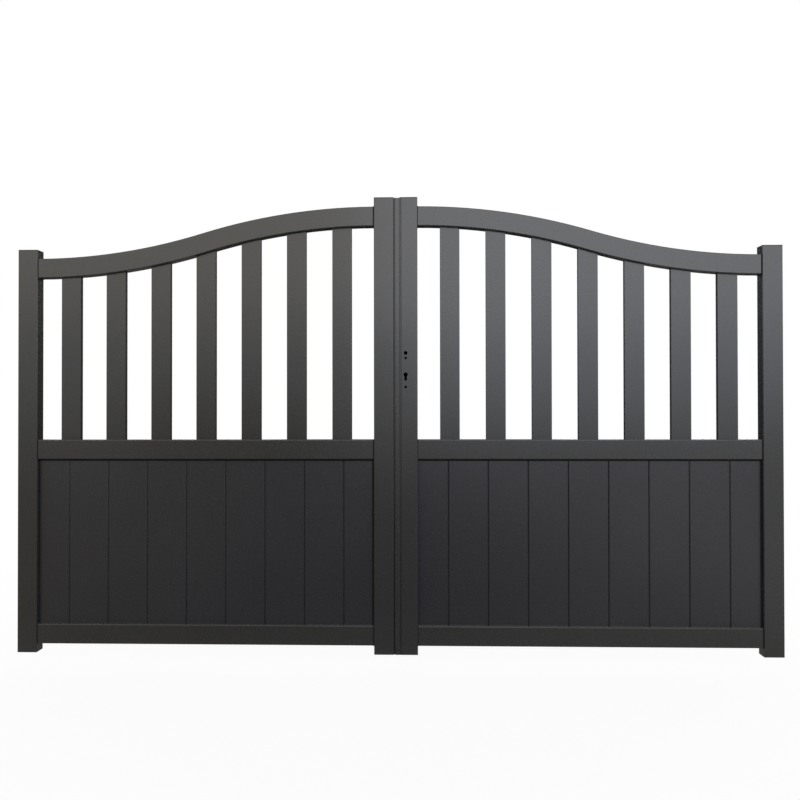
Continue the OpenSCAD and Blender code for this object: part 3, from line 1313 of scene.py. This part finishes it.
FLAG_CLOTH = FlagCloth()
VELVET = Velvet()
FLAGS = (
    # The gate mirrors this ground and not the white floor
    Flag("lying_flag", FLAG_CLOTH, place=(0, 0, 5 * MM), width=40, height=40, tilt=0),
    # A low screen stands far in front of the left leaf, which mirrors a darker skyline
    Flag("low_flag", FLAG_CLOTH, place=(-1.95, -5.13, 0.6), width=2.3, height=1.2),
    # Behind the gate one screen keeps the sides of the bars dark, and one their undersides
    Flag("side_flag", VELVET, place=(0.09, 2.89, 1.5), width=2.2, height=3.0),
    Flag("under_flag", VELVET, place=(0.09, 2.89, 1.0), width=7.0, height=1.0),
)
SOFTBOXES = (
    SoftBox(
        "left_softbox",
        place=(-3.35, -5.02, 3.85),
        width=5.8,
        height=3.4,
        radiance=1.08,
        colour="#fff5e0",
    ),
    SoftBox(
        "right_softbox",
        place=(2.25, -5.02, 3.55),
        width=5.4,
        height=3.4,
        radiance=2.6,
        colour="#f4f7ff",
    ),
    SoftBox(
        "right_fill",
        place=(2.6, -5.02, 1.45),
        width=5.2,
        height=1.0,
        radiance=1.25,
        colour="#dcebff",
    ),
    SoftBox(
        "back_softbox",
        place=(0.0, 5.6, 3.8),
        width=9.0,
        height=3.4,
        radiance=2.2,
        colour="#fbfbff",
        turn=180,
    ),
)


@dataclass
class Studio:
    """Pale floor, soft light, white background and the camera."""

    centre: Vector
    floor_z: float
    floor_w: float = 40.0
    ambient: float = 0.5
    # Millimetres, as on a camera
    sensor: float = 36.0
    lens: float = 33.283
    eye: tuple[float, float, float] = (1.6202, -3.0000, 0.7264)
    # Turns from facing the gate squarely, in radians
    yaw: float = 0.0253
    pitch: float = 0.0078
    roll: float = 0.0013

    @property
    def foot(self) -> Vector:
        """The middle of the gate, on the floor."""
        return Vector((self.centre.x, self.centre.y, self.floor_z))

    def world(self) -> None:
        """Fill the sky with white where it is seen and with plain light where it lights."""
        world = bpy.data.worlds.new("white studio")
        bpy.context.scene.world = world
        world.use_nodes = True
        tree = world.node_tree
        tree.nodes.clear()
        level = add_node(
            tree,
            "ShaderNodeMapRange",
            {"Value": seen_directly(tree), "To Min": self.ambient, "To Max": 1.0},
        )
        sky = add_node(
            tree,
            "ShaderNodeBackground",
            {"Color": linear(WHITE), "Strength": level.outputs["Result"]},
        )
        output = add_node(tree, "ShaderNodeOutputWorld")
        tree.links.new(sky.outputs["Background"], output.inputs["Surface"])

    def floor(self) -> None:
        """Lay a plain pale floor that keeps a soft shadow."""
        Bench.clear()
        bpy.ops.mesh.primitive_plane_add(size=self.floor_w, location=self.foot)
        obj = bpy.context.object
        obj.name = "pale_floor"
        dress(obj, PaleFloor().material())
        obj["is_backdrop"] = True

    def flags(self) -> None:
        """Put up the flags, each kind of cloth made once."""
        materials = {finish: finish.material() for finish in (FLAG_CLOTH, VELVET)}
        for flag in FLAGS:
            flag.build(materials[flag.finish], self.foot)

    def camera(self) -> None:
        """Stand the camera where the photograph was taken from."""
        data = bpy.data.cameras.new("camera")
        data.sensor_width = self.sensor
        data.lens = self.lens
        camera = bpy.data.objects.new("camera", data)
        turn = (
            Matrix.Rotation(self.yaw, 4, "Z")
            @ Matrix.Rotation(self.pitch, 4, "X")
            @ Matrix.Rotation(self.roll, 4, "Y")
            @ Matrix.Rotation(math.radians(90), 4, "X")
        )
        camera.matrix_world = Matrix.Translation(self.eye) @ turn
        bpy.context.scene.collection.objects.link(camera)
        bpy.context.scene.camera = camera

    def build(self) -> None:
        """Set up the whole studio."""
        self.world()
        self.floor()
        self.flags()
        for box in SOFTBOXES:
            box.build(self.foot)
        self.camera()
        bpy.context.scene.view_settings.view_transform = "Standard"
        LOG.info("studio lit")


def corners(box: Iterable[Vector]) -> list[list[float]]:
    """Turn a box into plain lists of numbers."""
    return [[float(value) for value in corner] for corner in box]


def main() -> None:
    """Load the gate, add its fittings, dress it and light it."""
    logging.basicConfig(level=logging.INFO, format="%(message)s")
    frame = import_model()
    nodes = frame["nodes"]
    cad_box = corners(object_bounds())
    finishes = {finish: finish.value.material() for finish in Finish}
    # M10 for the plates' anchors and M8 for the straps, with their usual heads and washers
    anchor = HexBolt(flats=17 * MM, head=6.4 * MM, washer=20 * MM, washer_t=2 * MM).build()
    strap = HexBolt(flats=13 * MM, head=5.3 * MM, washer=16 * MM, washer_t=1.6 * MM).build()
    screw = SunkScrew(head=8 * MM).build()
    for pattern in (anchor, strap):
        dress(pattern, finishes[Finish.ZINC])
    dress(screw, finishes[Finish.BRUSHED])
    for side in Side:
        leaf = Leaf(side, nodes)
        leaf.build(finishes[Finish.RUBBER])
        leaf.seal_joints(finishes[Finish.RUBBER])
        leaf.dress(finishes)
        for level in Level:
            hinge = Hinge(side, level)
            hinge.build(anchor, strap)
            hinge.dress(nodes, finishes)
    MeetingEdge().build(finishes, screw)
    for pattern in (anchor, strap, screw):
        bpy.data.objects.remove(pattern)
    low, high = (Vector(corner) for corner in cad_box)
    Studio((low + high) / 2, low.z - FLOOR_DROP).build()


if __name__ == "__main__":
    main()
